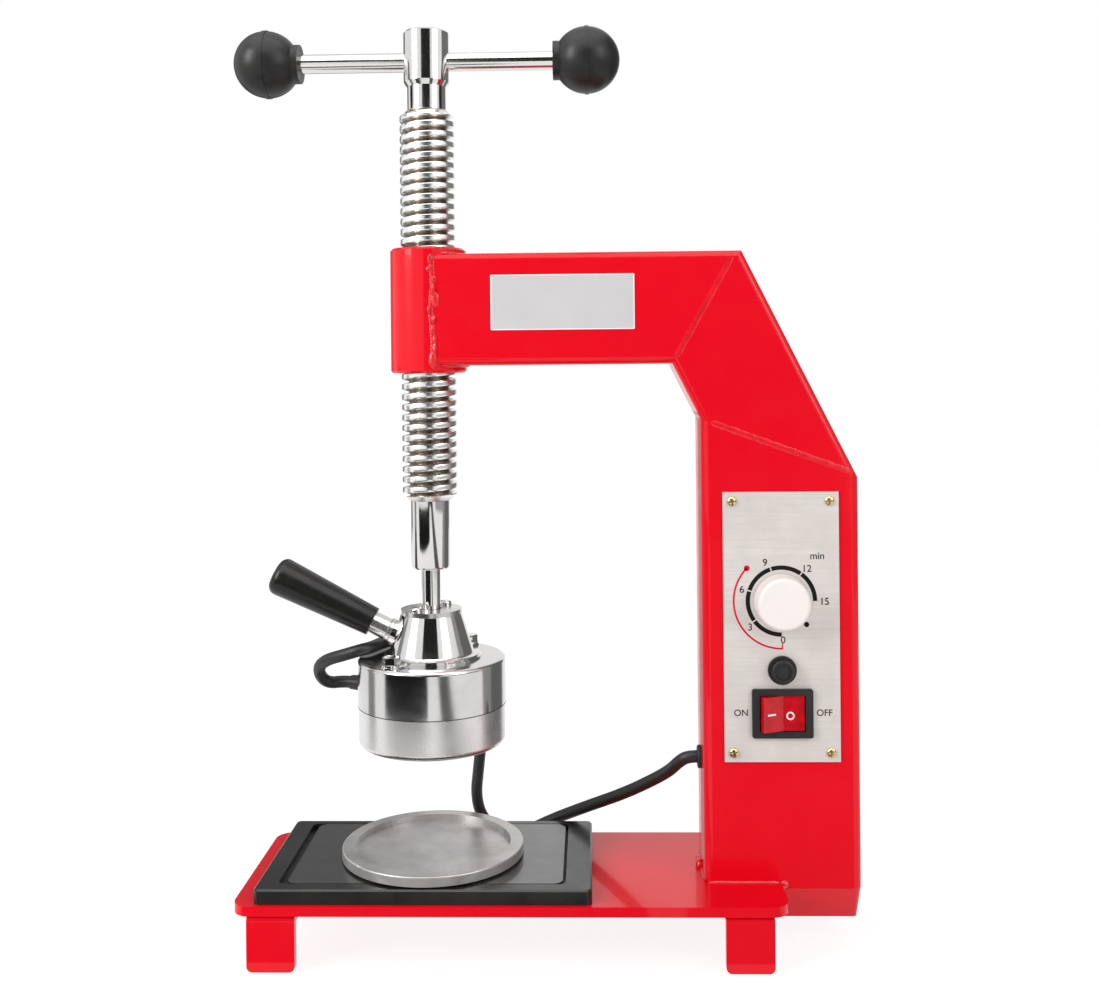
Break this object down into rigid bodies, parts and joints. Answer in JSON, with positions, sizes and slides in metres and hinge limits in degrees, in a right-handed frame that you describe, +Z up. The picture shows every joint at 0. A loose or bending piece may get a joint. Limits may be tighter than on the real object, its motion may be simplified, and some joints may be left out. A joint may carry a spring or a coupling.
{
  "type": "screw-clamp vulcanizing press",
  "caption": "Bench press with a red welded C-frame: a T-handled screw lowers a round heated head onto a platen to vulcanize rubber patches; timer, fuse and rocker switch on the post.",
  "frame": {"origin": "on the bench, under the middle of the press's outline without its loose lead", "axes": "+Z up along the screw, -Y towards the user and the control panel, +X from the screw to the post"},
  "size_m": [0.3244, 0.1146, 0.478],
  "materials": {
    "red_paint": "glossy powder coat with visible welds",
    "bright_steel": "turned, polished and nickel plated",
    "screw_steel": "turned thread, bright zinc",
    "heater_aluminium": "turned and polished",
    "cast_grey": "machined grey casting",
    "tray_black": "satin black enamel",
    "inset_black": "dark matt mat",
    "knob_black": "moulded black phenolic",
    "cord_black": "black flexible cord and bushes",
    "panel_steel": "brushed panel plate, printed black and red",
    "knob_white": "moulded white knob",
    "switch_black": "moulded black switch body and fuse holder",
    "switch_red": "translucent red rocker",
    "brass_plate": "yellow passivated screws",
    "inner_white": "heat insulation board and timer case",
    "fuse_glass": "glass fuse with metal ends"
  },
  "bodies": {
    "frame": {"base_plate": "red_paint", "front_left_foot": "red_paint", "front_right_foot": "red_paint", "back_left_foot": "red_paint", "back_right_foot": "red_paint", "post": "red_paint", "post_end_cap": "red_paint", "elbow": "red_paint", "arm": "red_paint", "spindle_nut": "red_paint", "tray_frame": "tray_black", "tray_inset": "inset_black", "lower_platen": "cast_grey", "platen_bolt": "bright_steel", "control_panel": "panel_steel", "panel_screws": "brass_plate", "timer_body": "inner_white", "fuse_holder": "switch_black", "switch_housing": "switch_black", "post_grommet": "cord_black", "mains_gland": "cord_black", "lead_cord": "cord_black"},
    "carriage": {"swivel_pin": "bright_steel"},
    "screw": {"spindle": "screw_steel", "spindle_hub": "bright_steel", "tommy_bar": "bright_steel", "left_ball_knob": "knob_black", "right_ball_knob": "knob_black"},
    "head": {"head_cone": "bright_steel", "cone_cap": "bright_steel", "cap_screws": "bright_steel", "thrust_washer": "brass_plate", "handle_rod": "bright_steel", "handle_collar": "bright_steel", "handle_grip": "knob_black", "head_cover": "bright_steel", "heating_plate": "heater_aluminium", "heater_element": "inner_white", "clamp_plate": "screw_steel", "insulation_disc": "inner_white", "thermostat": "inner_white", "head_bolts": "bright_steel", "head_gland": "cord_black", "head_cord": "cord_black"},
    "dial": {"timer_knob": "knob_white", "timer_shaft": "bright_steel"},
    "rocker": {"switch_rocker": "switch_red"},
    "fuse": {"fuse_cap": "switch_black", "fuse_link": "fuse_glass"}
  },
  "joints": [
    {"name": "press_feed", "type": "slide", "parent": "frame", "child": "carriage", "axis": [0, 0, -1], "range_m": [-0.06, 0.0525], "deforming": ["head_cord", "lead_cord"]},
    {"name": "spindle_turn", "type": "hinge", "parent": "carriage", "child": "screw", "pos_m": [-0.05975, 0, 0.3], "axis": [0, 0, -1], "range_deg": [-3960, 3465]},
    {"name": "head_swivel", "type": "hinge", "parent": "carriage", "child": "head", "pos_m": [-0.05975, 0, 0.16], "axis": [0, 0, 1], "range_deg": [-60, 60], "deforming": ["head_cord", "lead_cord"]},
    {"name": "timer_turn", "type": "hinge", "parent": "frame", "child": "dial", "pos_m": [0.12225, -0.03, 0.1772], "axis": [0, 1, 0], "range_deg": [-45, 270]},
    {"name": "rocker_tilt", "type": "hinge", "parent": "frame", "child": "rocker", "pos_m": [0.12225, -0.0202, 0.12], "axis": [0, 0, -1], "range_deg": [0, 24]},
    {"name": "fuse_pull", "type": "slide", "parent": "frame", "child": "fuse", "axis": [0, -1, 0], "range_m": [0, 0.03]}
  ],
  "couplings": [
    {"joint": "press_feed", "follows": "spindle_turn", "m_per_rad": 0.00086739}
  ]
}
